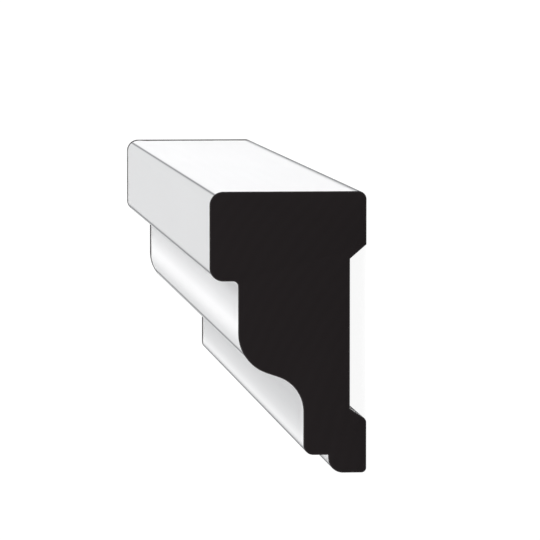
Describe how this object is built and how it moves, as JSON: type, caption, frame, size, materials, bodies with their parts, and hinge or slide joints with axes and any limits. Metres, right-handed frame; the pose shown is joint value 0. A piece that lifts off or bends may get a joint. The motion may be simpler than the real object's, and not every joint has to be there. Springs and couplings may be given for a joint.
{
  "type": "rake moulding",
  "caption": "Primed wood rake moulding with a square rounded nose, an ogee face, a set-back foot and a relieved back, for trimming a gable's sloping edge.",
  "frame": {"origin": "middle of the back, in the plane of its two lands", "axes": "+X along the stick, +Y across it towards the top edge, +Z out of the face, away from the back"},
  "size_m": [0.305, 0.07, 0.039],
  "materials": {
    "primed_wood": "matt white primer on milled wood, black sealer on its cut ends"
  },
  "bodies": {
    "root": {"rake_moulding": "primed_wood"}
  },
  "joints": []
}
